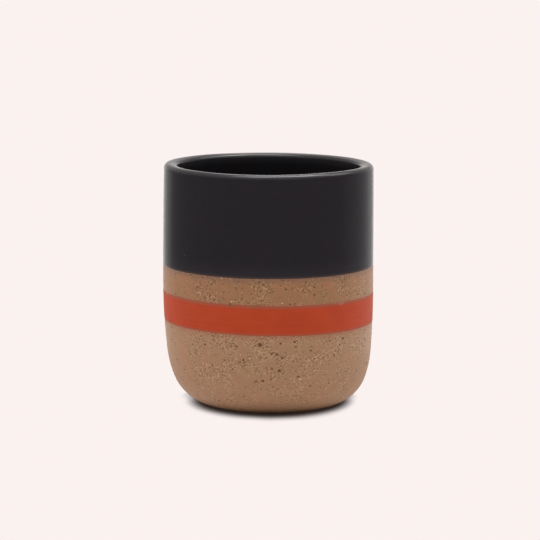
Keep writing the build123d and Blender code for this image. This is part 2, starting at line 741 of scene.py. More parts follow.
class TurningTree:
    """The geometry node tree that turns a section about the cup's axis and lays the hand's marks on it."""

    rim_seed = 3.7
    ring_fade = 4

    def __init__(self, section: CupSection) -> None:
        """Build the tree.

        Args:
            section: The section of the clay, for its overall sizes.
        """
        takes = {
            "Geometry": ("NodeSocketGeometry", None),
            "Segments": ("NodeSocketInt", 360),
            "Height": ("NodeSocketFloat", section.height),
            "Radius": ("NodeSocketFloat", section.belly_radius),
            "Material": ("NodeSocketMaterial", None),
            **HandMarks().inputs(),
            **EdgeMarks().inputs(),
        }
        gives = {"Geometry": "NodeSocketGeometry"}
        self.graph = Graph.group("turned_piece", "GeometryNodeTree", takes, gives)
        self.takes = self.graph.takes
        grid, position = self.turned()
        moved = self.moved(position)
        placed = self.graph.add("GeometryNodeSetPosition", {"Geometry": grid, "Position": moved})
        welding = {"Geometry": placed.outputs[0], "Distance": WELD}
        closed = self.graph.add("GeometryNodeMergeByDistance", welding)
        self.graph.dress(closed.outputs[0])

    def turned(self) -> tuple[Number, Number]:
        """Return the turned section as a grid, with one column for each segment.

        Returns:
            The grid, and the place of each of its points.
        """
        graph, takes = self.graph, self.takes
        size = graph.add("GeometryNodeAttributeDomainSize", {0: takes["Geometry"]})
        columns = takes["Segments"] + 1
        grid = graph.add("GeometryNodeMeshGrid", {"Vertices X": size.outputs[0], "Vertices Y": columns})
        index = graph.number(graph.add("GeometryNodeInputIndex"))
        row = (index / columns).math("FLOOR")
        column = index - row * columns
        section_place = graph.add("GeometryNodeInputPosition")
        sample = graph.add("GeometryNodeSampleIndex", {
            "Geometry": takes["Geometry"], "Value": section_place.outputs[0], "Index": row,
        }, data_type="FLOAT_VECTOR")
        radius, _, height = graph.axes(sample.outputs[0])
        angle = column / takes["Segments"] * math.tau
        place = graph.vector(radius * angle.math("COSINE"), radius * angle.math("SINE"), height)
        return graph.number(grid), place

    def moved(self, position: Number) -> Number:
        """Return the place of a point after the hand's marks are laid on it.

        Args:
            position: The turned place of the point.

        Returns:
            Its new place.
        """
        graph, takes = self.graph, self.takes
        x, y, z = graph.axes(position)
        radius = (x * x + y * y).math("SQRT").math("MAXIMUM", HAIR)
        rise = (z - takes["Still Height"]).math("MAXIMUM", 0) / (takes["Height"] - takes["Still Height"])
        sink = (takes["Still Height"] - z).math("MAXIMUM", 0) / takes["Still Height"]
        drift = rise * takes["Rim Drift"] + sink * sink * sink * takes["Foot Drift"]
        level = z / takes["Height"]
        squeeze = takes["Oval"] * level / takes["Radius"]
        rings = graph.noise({
            "W": z / takes["Ring Pitch"], "Scale": 1.0, "Detail": 2.0, "Roughness": 0.6,
        }, "1D")
        off_axis = (radius / takes["Radius"] * self.ring_fade).math("MINIMUM", 1)
        ring_lift = rings * takes["Ring Depth"] * off_axis / radius
        rim_share = z.passing(takes["Still Height"], takes["Height"], 0.0, 1.0)
        wave = graph.noise({
            "Vector": graph.vector(x / radius, y / radius, self.rim_seed), "Scale": 1.3, "Detail": 1.0,
        })
        rim_rise = wave * takes["Rim Wave"] + rim_run(graph, position, takes["Radius"], takes)
        new_x = x + drift + y * squeeze + x * ring_lift
        new_y = y + x * squeeze + y * ring_lift
        new_z = z + rim_rise * rim_share + self.edge_rise(position)
        return graph.vector(new_x, new_y, new_z)

    def edge_rise(self, position: Number) -> Number:
        """Return how far a point near an edge of a coat rises with that edge.

        Args:
            position: The turned place of the point.

        Returns:
            The rise, which is zero away from the edges.
        """
        graph, takes = self.graph, self.takes
        x, y, z = graph.axes(position)
        rises = []
        for edge in Edge:
            label = edge.name.title()
            near = (z - takes[f"{label} Edge"]).size().passing(0.0, takes["Edge Reach"])
            run = edge_run(graph, position, edge.value, takes["Edge Wave"], takes[f"{label} Fall"])
            rises.append(near * run)
        aside = (y.math("ARCTAN2", x) - takes["Notch Angle"]).size() * takes["Radius"]
        cut = (aside / takes["Notch Width"] * -2 + 1).math("MAXIMUM", 0) * takes["Notch Depth"]
        near_top = (z - takes["Upper Edge"]).size().passing(0.0, takes["Notch Depth"] * 2 + HAIR)
        return rises[0] + rises[1] - cut * near_top

    def turn(self, outline: list[Vector], segments: int, material: bpy.types.Material,
             hand: HandMarks, edges: EdgeMarks) -> bpy.types.Mesh:
        """Return the mesh of a piece turned from its section.

        Args:
            outline: The section's outline as radius and height, closed on itself or open on the axis.
            segments: The number of segments round the cup.
            material: The piece's material.
            hand: The marks of the hand on the whole cup.
            edges: The run of the coat's own edges.

        Returns:
            The mesh, closed and with its faces outwards.
        """
        section = bpy.data.meshes.new("section")
        section.from_pydata([(point.x, 0, point.y) for point in outline], [], [])
        values = {**hand.values(), **edges.values(), "Segments": segments, "Material": material}
        mesh = make_mesh(section, self.graph.tree, values)
        shell = bmesh.new()
        shell.from_mesh(mesh)
        bmesh.ops.recalc_face_normals(shell, faces=shell.faces)
        if shell.calc_volume(signed=True) < 0:
            bmesh.ops.reverse_faces(shell, faces=shell.faces)
        shell.to_mesh(mesh)
        shell.free()
        mesh.shade_smooth()
        mesh.set_sharp_from_angle(angle=SHARP_ANGLE)
        return mesh


class GrainTree:
    """The geometry node tree that scatters low grains over the bare clay's outer side."""

    spin_seed = 2
    size_seed = 5
    stretch_seed = 9
    least_stretch = 0.7
    most_stretch = 1.3
    crowd_at_foot = 0.25
    crowd_over_band = 0.7
    bunches = Passage(0.42, 0.60, 0.05, 1.9)

    def __init__(self) -> None:
        """Build the tree."""
        takes = {
            "Geometry": ("NodeSocketGeometry", None),
            "Material": ("NodeSocketMaterial", None),
            "Grains Per Area": ("NodeSocketFloat", 1e5),
            "Smallest": ("NodeSocketFloat", 0.1 * MM),
            "Largest": ("NodeSocketFloat", 0.25 * MM),
            "Flatness": ("NodeSocketFloat", 0.35),
            "Lowest": ("NodeSocketFloat", 2.0 * MM),
            "Crowded From": ("NodeSocketFloat", 12.0 * MM),
            "Band Bottom": ("NodeSocketFloat", 32.9 * MM),
            "Band Top": ("NodeSocketFloat", 44.3 * MM),
            "Dip Line": ("NodeSocketFloat", 54.9 * MM),
            "Cluster Size": ("NodeSocketFloat", 6.0 * MM),
            "Seed": ("NodeSocketInt", 1),
        }
        gives = {"Geometry": "NodeSocketGeometry"}
        self.graph = Graph.group("clay_grains", "GeometryNodeTree", takes, gives)
        graph, self.takes = self.graph, self.graph.takes
        scatter = graph.add("GeometryNodeDistributePointsOnFaces", {
            "Mesh": self.takes["Geometry"], "Density": self.crowd(), "Seed": self.takes["Seed"],
        }, distribute_method="RANDOM")
        whole_turn = {"Max": (0.0, 0.0, math.tau), "Seed": self.spin_seed}
        spin = graph.add("FunctionNodeRandomValue", whole_turn, data_type="FLOAT_VECTOR")
        turn = graph.add("FunctionNodeEulerToRotation", {0: spin.outputs[0]})
        turned = graph.add("FunctionNodeRotateRotation", {
            0: scatter.outputs["Rotation"], 1: turn.outputs[0],
        }, rotation_space="LOCAL")
        ball = graph.add("GeometryNodeMeshIcoSphere", {"Radius": 1.0, "Subdivisions": 1})
        placed = graph.add("GeometryNodeInstanceOnPoints", {
            "Points": scatter.outputs["Points"], "Instance": ball.outputs[0],
            "Rotation": turned.outputs[0], "Scale": self.grain_size(),
        })
        graph.dress(placed.outputs[0])

    def draw(self, least: float, most: float, seed: int) -> Number:
        """Return a random number for each grain.

        Args:
            least: The least that it can be.
            most: The most that it can be.
            seed: The seed of the draw.

        Returns:
            The number.
        """
        feeds = {RANDOM_LEAST: least, RANDOM_MOST: most, "Seed": seed}
        node = self.graph.add("FunctionNodeRandomValue", feeds, data_type="FLOAT")
        return self.graph.number(node, RANDOM_NUMBER)

    def grain_size(self) -> Number:
        """Return the size of each grain, mostly near the smallest and a little longer than wide.

        Returns:
            The size along each of the grain's own axes.
        """
        takes, random = self.takes, self.draw(0.0, 1.0, self.size_seed)
        stretch = self.draw(self.least_stretch, self.most_stretch, self.stretch_seed)
        radius = takes["Smallest"] + (takes["Largest"] - takes["Smallest"]) * random * random
        return self.graph.vector(radius * stretch, radius, radius * takes["Flatness"])

    def crowd(self) -> Number:
        """Return how many grains lie on the outer side, in clusters and fewer towards the foot.

        Returns:
            The number of grains on a square metre.
        """
        graph, takes = self.graph, self.takes
        place = graph.number(graph.add("GeometryNodeInputPosition"))
        x, y, z = graph.axes(place)
        across, along, _ = graph.axes(graph.add("GeometryNodeInputNormal").outputs[0])
        outwards = (x * across + y * along).math("GREATER_THAN", 0.0)
        below = z.math("LESS_THAN", takes["Band Bottom"]) * z.math("GREATER_THAN", takes["Lowest"])
        above = z.math("LESS_THAN", takes["Dip Line"]) * z.math("GREATER_THAN", takes["Band Top"])
        lively = z.passing(takes["Lowest"], takes["Crowded From"], self.crowd_at_foot, 1.0)
        cluster = graph.number(graph.add("ShaderNodeTexNoise", {
            "Vector": place, "Scale": takes["Cluster Size"].inverse(), "Detail": 2.0,
        }, noise_dimensions="3D"))
        zones = below * lively + above * self.crowd_over_band
        return takes["Grains Per Area"] * outwards * zones * cluster.along(self.bunches)

    def scatter(self, clay: bpy.types.Mesh, values: dict[str, object]) -> bpy.types.Mesh:
        """Return the mesh of the grains on a clay mesh.

        Args:
            clay: The mesh of the clay body.
            values: The tree's inputs, by name.

        Returns:
            The mesh of all the grains.
        """
        mesh = make_mesh(clay, self.graph.tree, values)
        mesh.shade_smooth()
        return mesh


@dataclass(frozen=True)
class Mottle:
    """A value that wanders round zero: its patches' size, how far it goes and how finely it breaks up."""

    patch_size: float
    amount: float = 1.0
    detail: float = 2.0


@dataclass(frozen=True)
class Scatter:
    """A scatter of small uneven spots, present by a share that may rise where the finish is crowded."""

    spacing: float
    spot_radius: float
    seed: float
    present_share: float
    crowded_share: float = 0.0

    def values(self, crowd: object = 0.0) -> dict[str, object]:
        """Return the inputs of the shared group.

        Args:
            crowd: How crowded the place is, from 0 to 1.

        Returns:
            The inputs by name.
        """
        return {
            "spacing": self.spacing, "spot_radius": self.spot_radius, "seed": self.seed,
            "present_share": crowd * self.crowded_share + self.present_share,
        }


class Effects:
    """The shader node groups that the finishes share."""

    size_spread = 0.9
    least_size = 0.4
    core_share = 0.6
    raggedness = 4

    def __init__(self) -> None:
        """Build the groups."""
        self.speckle = self.make_speckle()
        self.mottle = self.make_mottle()
        self.wheel_lines = self.make_wheel_lines()
        self.above_edge = self.make_above_edge()

    @staticmethod
    def start(name: str, numbers: dict[str, float], gives: tuple[str, ...] = ("Value",)) -> Graph:
        """Start a shared group that takes a vector and some numbers.

        Args:
            name: The group's name.
            numbers: The inputs that are numbers, each with its default.
            gives: The outputs, all of them numbers.

        Returns:
            The graph of the group.
        """
        takes = {"Vector": ("NodeSocketVector", None)}
        takes.update({label: ("NodeSocketFloat", default) for label, default in numbers.items()})
        return Graph.group(name, "ShaderNodeTree", takes, {label: "NodeSocketFloat" for label in gives})

    def make_speckle(self) -> bpy.types.NodeTree:
        """Make the group that scatters small uneven spots, with a mask and a random shade for each.

        Returns:
            The group's tree.
        """
        numbers = {"Spacing": 1.0 * MM, "Spot Radius": 0.2 * MM, "Present Share": 0.5, "Seed": 0.0}
        graph = self.start("speckle", numbers, ("Mask", "Shade"))
        ins = graph.takes
        apart = graph.vector(ins["Seed"], ins["Seed"], ins["Seed"])
        place = graph.add("ShaderNodeVectorMath", {0: ins["Vector"], 1: apart}, operation="ADD").outputs[0]
        fineness = ins["Spacing"].inverse()
        cells = graph.add("ShaderNodeTexVoronoi", {
            "Vector": place, "Scale": fineness,
        }, voronoi_dimensions="3D")
        size, chance, shade = graph.axes(cells.outputs["Color"])
        ragged = graph.number(graph.add("ShaderNodeTexNoise", {
            "Vector": place, "Scale": fineness * self.raggedness, "Detail": 1.0,
        }))
        reach = ins["Spot Radius"] * (size * self.size_spread + self.least_size)
        far = graph.number(cells, "Distance") * ins["Spacing"] + (ragged - MIDDLE) * reach
        mask = far.passing(reach * self.core_share, reach) * chance.math("LESS_THAN", ins["Present Share"])
        graph.give("Mask", mask)
        graph.give("Shade", shade)
        return graph.tree

    def make_mottle(self) -> bpy.types.NodeTree:
        """Make the group whose value wanders round zero over patches of a given size.

        Returns:
            The group's tree.
        """
        graph = self.start("mottle", {"Patch Size": 5.0 * MM, "Detail": 2.0, "Amount": 1.0})
        ins = graph.takes
        wander = graph.noise({
            "Vector": ins["Vector"], "Scale": ins["Patch Size"].inverse(), "Detail": ins["Detail"],
            "Roughness": 0.6,
        })
        graph.give("Value", wander * ins["Amount"])
        return graph.tree

    def make_wheel_lines(self) -> bpy.types.NodeTree:
        """Make the group of faint level lines that the potter's fingers leave, from 0 to 1.

        Returns:
            The group's tree.
        """
        graph = self.start("wheel_lines", {"Pitch": 1.0 * MM})
        _, _, height = graph.axes(graph.takes["Vector"])
        lines = graph.add("ShaderNodeTexNoise", {
            "W": height / graph.takes["Pitch"], "Scale": 1.0, "Detail": 3.0, "Roughness": 0.7,
        }, noise_dimensions="1D")
        graph.give("Value", graph.number(lines))
        return graph.tree

    def make_above_edge(self) -> bpy.types.NodeTree:
        """Make the group that tells how far a place lies above an edge of a coat.

        Returns:
            The group's tree.
        """
        graph = self.start("above_edge", {"Edge Height": 0.0, "Fall": 0.0, "Wave": 0.0, "Seed": 0.0})
        ins = graph.takes
        run = edge_run(graph, ins["Vector"], ins["Seed"], ins["Wave"], ins["Fall"])
        graph.give("Value", graph.axes(ins["Vector"])[2] - ins["Edge Height"] - run)
        return graph.tree


class Finish:
    """A finish under construction: its material, its shader and its object coordinates."""

    def __init__(self, name: str, effects: Effects, **constants: object) -> None:
        """Start the material.

        Args:
            name: The material's name.
            effects: The shared shader groups.
            constants: Values set on the shader's own sockets, named with underscores.
        """
        self.effects = effects
        self.material = bpy.data.materials.new(name)
        self.material.use_nodes = True
        self.graph = Graph(self.material.node_tree)
        self.shader = self.material.node_tree.nodes["Principled BSDF"]
        for label, value in constants.items():
            self.shader.inputs[label.replace("_", " ")].default_value = value
        self.place = self.graph.number(self.graph.add("ShaderNodeTexCoord"), "Object")

    def use(self, group: bpy.types.NodeTree, output: str, **values: object) -> Number:
        """Use a shared group, at the finish's own place if no other vector is given.

        Args:
            group: The shared group.
            output: The name of the output.
            values: The group's inputs, named with underscores.

        Returns:
            The output.
        """
        node = self.graph.add("ShaderNodeGroup", node_tree=group)
        for label, value in {"vector": self.place, **values}.items():
            self.graph.feed(node.inputs[label.replace("_", " ").title()], value)
        return self.graph.number(node, output)

    def shifted(self, across: float, up: float) -> Number:
        """Return the place from which a pattern shows moved across and up."""
        feeds = {0: self.place, 1: self.graph.vector(-across, 0.0, -up)}
        return self.graph.number(self.graph.add("ShaderNodeVectorMath", feeds, operation="ADD"))

    def speckle(self, **values: object) -> Number:
        """Return the mask of scattered spots."""
        return self.use(self.effects.speckle, "Mask", **values)

    def mottle(self, mottle: Mottle) -> Number:
        """Return a value that wanders round zero."""
        return self.use(self.effects.mottle, "Value", **vars(mottle))

    def wheel_lines(self, pitch: float) -> Number:
        """Return the level lines of the potter's fingers."""
        return self.use(self.effects.wheel_lines, "Value", pitch=pitch)

    def above(self, marks: EdgeMarks, edge: Edge) -> Number:
        """Return how far a place lies above an edge of a coat.

        Args:
            marks: How the coat's edges run.
            edge: The edge that is meant.

        Returns:
            The height above that edge, less than zero under it.
        """
        height, fall = {
            Edge.LOWER: (marks.lower_edge, marks.lower_fall),
            Edge.UPPER: (marks.upper_edge, marks.upper_fall),
        }[edge]
        values = {"edge_height": height, "fall": fall, "wave": marks.edge_wave, "seed": edge.value}
        return self.use(self.effects.above_edge, "Value", **values)

    def lighten(self, colour: Number, factor: Number) -> Number:
        """Return a colour times a number that varies over the surface."""
        grey = self.graph.vector(factor, factor, factor)
        return self.graph.blend(1.0, colour, grey, "MULTIPLY")

    def shape(self, colour: Number, roughness: Number, relief: Number, depth: float) -> bpy.types.Material:
        """Feed the shader and return the material.

        Args:
            colour: The base colour.
            roughness: The roughness.
            relief: The height of the fine relief, from 0 to 1.
            depth: The real depth of that relief.

        Returns:
            The finished material.
        """
        bump = self.graph.add("ShaderNodeBump", {"Strength": 1.0, "Distance": depth, "Height": relief})
        self.graph.feed(self.shader.inputs["Base Color"], colour)
        self.graph.feed(self.shader.inputs["Roughness"], roughness)
        self.graph.feed(self.shader.inputs["Normal"], bump.outputs[0])
        return self.material


@dataclass(frozen=True)
class Stoneware:
    """Bare stoneware: clay in pinkish and olive patches, with wrinkles and pits in painted shade and
    highlight, grog and dark iron.
    """

    pink: Colour = (0.297, 0.134, 0.066, 1)
    olive: Colour = (0.273, 0.138, 0.062, 1)
    low_pink: Colour = (0.327, 0.171, 0.097, 1)
    low_olive: Colour = (0.311, 0.178, 0.094, 1)
    grog: Colour = (0.52, 0.34, 0.22, 1)
    # The colour painted as shade in the pits and in the wrinkles' hollows
    pit: Colour = (0.130, 0.058, 0.026, 1)
    iron: Colour = (0.070, 0.030, 0.016, 1)
    glaze_fume: Colour = (0.070, 0.060, 0.062, 1)
    slip_stain: Colour = (0.280, 0.055, 0.022, 1)
    ior: float = 1.24

    # The clay's own colours: paler below the band, in patches that turn slowly towards olive across the cup
    below_band: Passage = Passage(34 * MM, 44 * MM)
    patches: Mottle = Mottle(6 * MM, 1.3)
    patch_turn: float = 500 * MM
    clouds: Mottle = Mottle(3.2 * MM, 0.12)
    dust: Mottle = Mottle(0.55 * MM, 0.20)
    quiet_dust: float = 0.5

    # Where the grain is lively: up from the foot, away from the cup's sides, and in clusters
    off_foot: Passage = Passage(4 * MM, 22 * MM, 0.55, 1.0)
    right_side: Passage = Passage(29 * MM, 35 * MM, 1.0, 0.75)
    left_side: Passage = Passage(-31 * MM, -26 * MM, 0.4, 1.0)
    clusters: Mottle = Mottle(6.5 * MM)
    cluster_edge: Passage = Passage(-0.20, 0.16, 0.12, 1.0)

    # The wrinkles, whose hollows are painted dark as shade and whose ridges are painted pale as a highlight
    wrinkles: Mottle = Mottle(0.75 * MM, 1.25, 1.0)
    hollows: Passage = Passage(0.0, -0.5, 0.0, 0.55)
    ridges: Passage = Passage(0.0, 0.5, 0.0, 0.45)

    # The spots, with the share of their colour that each takes, and where on a pit's rim a highlight is
    # painted. A pit's dark colour is painted shade
    pits: Scatter = Scatter(1.15 * MM, 0.31 * MM, seed=0.77, present_share=0.04, crowded_share=0.75)
    grogs: Scatter = Scatter(1.4 * MM, 0.26 * MM, seed=0.31, present_share=0.03, crowded_share=0.6)
    irons: Scatter = Scatter(2.8 * MM, 0.50 * MM, seed=0.13, present_share=0.2, crowded_share=0.4)
    pit_share: float = 0.74
    lit_share: float = 0.58
    grog_share: float = 0.56
    iron_share: float = 0.70
    lit_across: float = 0.14 * MM
    lit_down: float = 0.34 * MM
    pale_over_band: float = 0.7
    dark_over_band: float = 1.45

    # The darker, greyer clay just below the dip line, and the stain of the slip beside the band
    fume: Passage = Passage(-3 * MM, 0.0, 0.0, 0.34)
    stain_over: Passage = Passage(0.0, 1.3 * MM, 0.34, 0.0)
    stain_under: Passage = Passage(-2.4 * MM, 0.0, 0.0, 0.28)
    stain_overlap: float = 0.5 * MM

    # The roughness, and the shares and depth of the relief
    roughness: float = 0.50
    dull_patches: Mottle = Mottle(0.9 * MM, 0.08)
    pit_roughness: float = 0.15
    line_pitch: float = 1.7 * MM
    wrinkle_relief: float = 0.5
    grog_relief: float = 0.2
    lit_relief: float = 0.1
    pit_relief: float = 0.5
    line_relief: float = 0.25
    relief_depth: float = 0.10 * MM

    def make(self, effects: Effects, dip: EdgeMarks, band: EdgeMarks) -> bpy.types.Material:
        """Return the material.

        Args:
            effects: The shared shader groups.
            dip: The edge of the dipped glaze, just below which the clay is darker and greyer.
            band: The edges of the painted band, beside which the clay is stained.

        Returns:
            The material.
        """
        finish = Finish("bare_stoneware", effects, IOR=self.ior)
        graph = finish.graph
        across, _, height = graph.axes(finish.place)
        low = height.along(self.below_band)
        pale = low * (1 - self.pale_over_band) + self.pale_over_band
        dark = low * (1 - self.dark_over_band) + self.dark_over_band
        lively = height.along(self.off_foot) * (across.along(self.right_side) * across.along(self.left_side))
        coarse = finish.mottle(self.clusters).along(self.cluster_edge) * lively
        clay = self.clay_colour(finish, across, low, lively)
        wrinkles = finish.mottle(self.wrinkles) * coarse
        # Painted shade in the wrinkles' hollows, and a painted highlight on their ridges
        clay = graph.blend(wrinkles.along(self.hollows) * dark, clay, self.pit)
        clay = graph.blend(wrinkles.along(self.ridges) * pale, clay, self.grog)
        pitting = self.pits.values(coarse)
        pits = finish.speckle(**pitting)
        # A highlight painted on each pit's rim: the pit pattern moved across and down, off the pits
        # themselves
        lit_place = finish.shifted(self.lit_across, -self.lit_down)
        lit = finish.speckle(vector=lit_place, **pitting) * (pits * -1 + 1)
        grog = finish.speckle(**self.grogs.values(coarse))
        iron = finish.speckle(**self.irons.values(coarse))
        clay = graph.blend(lit * pale * self.lit_share, clay, self.grog)
        clay = graph.blend(grog * pale * self.grog_share, clay, self.grog)
        # Painted shade in the pits
        clay = graph.blend(pits * dark * self.pit_share, clay, self.pit)
        clay = graph.blend(iron * self.iron_share, clay, self.iron)
        # The clay is darker and greyer just below the dip line
        clay = graph.blend(finish.above(dip, Edge.LOWER).along(self.fume), clay, self.glaze_fume)
        clay = graph.blend(self.stain(finish, band), clay, self.slip_stain)
        rough = finish.mottle(self.dull_patches) + pits * self.pit_roughness + self.roughness
        relief = wrinkles * self.wrinkle_relief + grog * self.grog_relief + lit * self.lit_relief
        relief = relief - pits * self.pit_relief + MIDDLE
        relief = relief + finish.wheel_lines(self.line_pitch) * self.line_relief
        return finish.shape(clay, rough, relief, self.relief_depth)

    def clay_colour(self, finish: Finish, across: Number, low: Number, lively: Number) -> Number:
        """Return the clay's own colour in its patches.

        Args:
            finish: The finish that it belongs to.
            across: The place across the cup.
            low: How far a place lies below the band, from 0 to 1.
            lively: How lively the clay is there, from 0 to 1.

        Returns:
            The colour.
        """
        graph = finish.graph
        patch = finish.mottle(self.patches) + across / self.patch_turn + MIDDLE
        high_clay = graph.blend(patch, self.pink, self.olive)
        low_clay = graph.blend(patch, self.low_pink, self.low_olive)
        dust = finish.mottle(self.dust) * (lively * self.quiet_dust + (1 - self.quiet_dust))
        return finish.lighten(graph.blend(low, high_clay, low_clay), finish.mottle(self.clouds) + dust + 1)

    def stain(self, finish: Finish, band: EdgeMarks) -> Number:
        """Return the share of the slip's stain beside the band.

        Args:
            finish: The finish that it belongs to.
            band: The edges of the painted band.

        Returns:
            The share.
        """
        over, under = finish.above(band, Edge.UPPER), finish.above(band, Edge.LOWER)
        above = over.along(self.stain_over) * over.math("GREATER_THAN", -self.stain_overlap)
        return above + under.along(self.stain_under) * under.math("LESS_THAN", self.stain_overlap)


@dataclass(frozen=True)
class Glaze:
    """A dark satin glaze: nearly black, with faint wheel lines, a few pinholes and a shiny lip."""

    name: str
    base: Colour
    warm: Colour
    shine_from: float
    shine_full: float
    # How much lighter the glaze is painted just under the rim, as painted light
    worn_rim: float = 1.0
    pinhole: Colour = (0.085, 0.080, 0.080, 1)
    thin: Colour = (0.140, 0.080, 0.055, 1)
    ior: float = 1.08

    # The skin's patches and pinholes, and how it thins out to paler and browner glaze over its lower edge
    patches: Mottle = Mottle(14 * MM, 1.3)
    clouds: Mottle = Mottle(2.2 * MM, 0.10, 3.0)
    pinholes: Scatter = Scatter(7.5 * MM, 0.34 * MM, seed=0.53, present_share=0.22)
    pinhole_share: float = 0.85
    paler_low: Passage = Passage(0.0, 7 * MM, 1.28, 1.0)
    thin_low: Passage = Passage(0.0, 1.3 * MM, 0.30, 0.0)

    # The lip: a clear coat from one height to another, weaker and duller towards the cup's left and right,
    # and the reach of the light painted on the glaze under the rim
    rim_wander: Mottle = Mottle(9 * MM, 0.25 * MM)
    wear_reach: float = 4 * MM
    coat_ior: float = 1.4
    coat_roughness: float = 0.22
    aside: Passage = Passage(0.15, 0.65, 0.0, 1.0)
    shine_aside: float = 0.44
    roughness: float = 0.20
    dull_roughness: float = 0.36

    # The fine changes of the roughness and the relief
    dull_patches: Mottle = Mottle(6 * MM, 0.05)
    dull_dust: Mottle = Mottle(0.5 * MM, 0.05)
    line_pitch: float = 1.9 * MM
    line_relief: float = 0.35
    skin_relief: Mottle = Mottle(1.6 * MM, 0.16)
    pinhole_relief: float = 0.6
    relief_depth: float = 0.05 * MM

    def make(self, effects: Effects, hand: HandMarks, edges: EdgeMarks, radius: float) -> bpy.types.Material:
        """Return the material.

        Args:
            effects: The shared shader groups.
            hand: The marks of the hand, for the tilt that the shiny lip follows.
            edges: The glaze's own edges, near which it is thin.
            radius: The radius of the cup, at whose far left and right the lip is dull.

        Returns:
            The material.
        """
        coat = {"Coat_IOR": self.coat_ior, "Coat_Roughness": self.coat_roughness}
        finish = Finish(self.name, effects, IOR=self.ior, **coat)
        graph = finish.graph
        skin = graph.blend(finish.mottle(self.patches) + MIDDLE, self.base, self.warm)
        skin = finish.lighten(skin, finish.mottle(self.clouds) + 1)
        pinholes = finish.speckle(**self.pinholes.values())
        skin = graph.blend(pinholes * self.pinhole_share, skin, self.pinhole)
        rise = finish.above(edges, Edge.LOWER)
        skin = finish.lighten(skin, rise.along(self.paler_low))
        skin = graph.blend(rise.along(self.thin_low), skin, self.thin)
        across, _, height = graph.axes(finish.place)
        level = height - rim_run(graph, finish.place, radius, hand.values()) + finish.mottle(self.rim_wander)
        # Painted light: the glaze is made lighter just under the rim
        rim_light_factor = level.passing(self.shine_full - self.wear_reach, self.shine_full, 1.0, self.worn_rim)
        skin = finish.lighten(skin, rim_light_factor)
        lip = level.passing(self.shine_from, self.shine_full, 0.0, 1.0)
        side = (across / radius).size().along(self.aside)
        graph.feed(finish.shader.inputs["Coat Weight"], lip * (side * (self.shine_aside - 1) + 1))
        rough = finish.mottle(self.dull_patches) + finish.mottle(self.dull_dust) + self.roughness
        rough = rough + lip * side * (self.dull_roughness - self.roughness)
        relief = finish.mottle(self.skin_relief) + finish.wheel_lines(self.line_pitch) * self.line_relief
        relief = relief - pinholes * self.pinhole_relief + MIDDLE
        return finish.shape(skin, rough, relief, self.relief_depth)


@dataclass(frozen=True)
class Slip:
    """Painted orange slip: smooth and matte, with soft strokes round the cup and one thin place."""

    bright: Colour = (0.400, 0.047, 0.0135, 1)
    deep: Colour = (0.370, 0.042, 0.0125, 1)
    thin: Colour = (0.50, 0.16, 0.09, 1)
    # The colour of the shade painted along the band's edges
    margin: Colour = (0.160, 0.110, 0.075, 1)
    ior: float = 1.22

    # The thin place: its tip, its slope, the share of paler slip in it and its ragged edge
    thin_across: float = 28.0 * MM
    thin_tip: float = 42.6 * MM
    thin_depth: float = 2.1 * MM
    thin_reach: float = 2.5 * MM
    thin_share: float = 0.6
    thin_edge: Passage = Passage(0.0, 0.45, 0.0, 1.0)
    ragged: Mottle = Mottle(0.8 * MM, 0.25)

    # The paint's patches, strokes and grit, and the shade painted along both its edges
    patches: Mottle = Mottle(9 * MM, 1.4)
    stroke_pitch: float = 1.1 * MM
    stroke_light: float = 0.14
    plain_light: float = 0.93
    dust: Mottle = Mottle(0.8 * MM, 0.06)
    grit: Scatter = Scatter(2.6 * MM, 0.3 * MM, seed=0.91, present_share=0.10)
    grit_share: float = 0.35
    upper_margin: Passage = Passage(-1.3 * MM, 0.0, 0.0, 0.42)
    lower_margin: Passage = Passage(0.0, 1.4 * MM, 0.42, 0.0)

    # The roughness, and the shares and depth of the relief
    roughness: float = 0.68
    dull_patches: Mottle = Mottle(1.2 * MM, 0.06)
    stroke_relief: float = 0.5
    paint_relief: Mottle = Mottle(0.6 * MM, 0.15)
    grit_relief: float = 0.4
    plain_relief: float = 0.3
    relief_depth: float = 0.05 * MM

    def make(self, effects: Effects, band: EdgeMarks) -> bpy.types.Material:
        """Return the material.

        Args:
            effects: The shared shader groups.
            band: The band's own edges, along which shade is painted.

        Returns:
            The material.
        """
        finish = Finish("orange_slip", effects, IOR=self.ior)
        graph = finish.graph
        paint = graph.blend(finish.mottle(self.patches) + MIDDLE, self.bright, self.deep)
        strokes = finish.wheel_lines(self.stroke_pitch)
        light = strokes * self.stroke_light + finish.mottle(self.dust) + self.plain_light
        paint = finish.lighten(paint, light)
        grit = finish.speckle(**self.grit.values())
        paint = graph.blend(grit * self.grit_share, paint, self.thin)
        paint = graph.blend(self.thin_place(finish) * self.thin_share, paint, self.thin)
        # Painted shade along the band's upper and lower edges
        margin = finish.above(band, Edge.UPPER).along(self.upper_margin)
        margin = margin + finish.above(band, Edge.LOWER).along(self.lower_margin)
        paint = graph.blend(margin, paint, self.margin)
        rough = finish.mottle(self.dull_patches) + self.roughness
        relief = strokes * self.stroke_relief + finish.mottle(self.paint_relief) + grit * self.grit_relief
        return finish.shape(paint, rough, relief + self.plain_relief, self.relief_depth)

    def thin_place(self, finish: Finish) -> Number:
        """Return the mask of the pointed place at the front's upper edge where the slip ran thin.

        Args:
            finish: The finish that it belongs to.

        Returns:
            The mask.
        """
        across, along, height = finish.graph.axes(finish.place)
        rise = (height - self.thin_tip) / self.thin_depth
        aside = (across - self.thin_across).size() / self.thin_reach
        inside = rise - aside + finish.mottle(self.ragged)
        return inside.along(self.thin_edge) * along.math("LESS_THAN", 0.0)


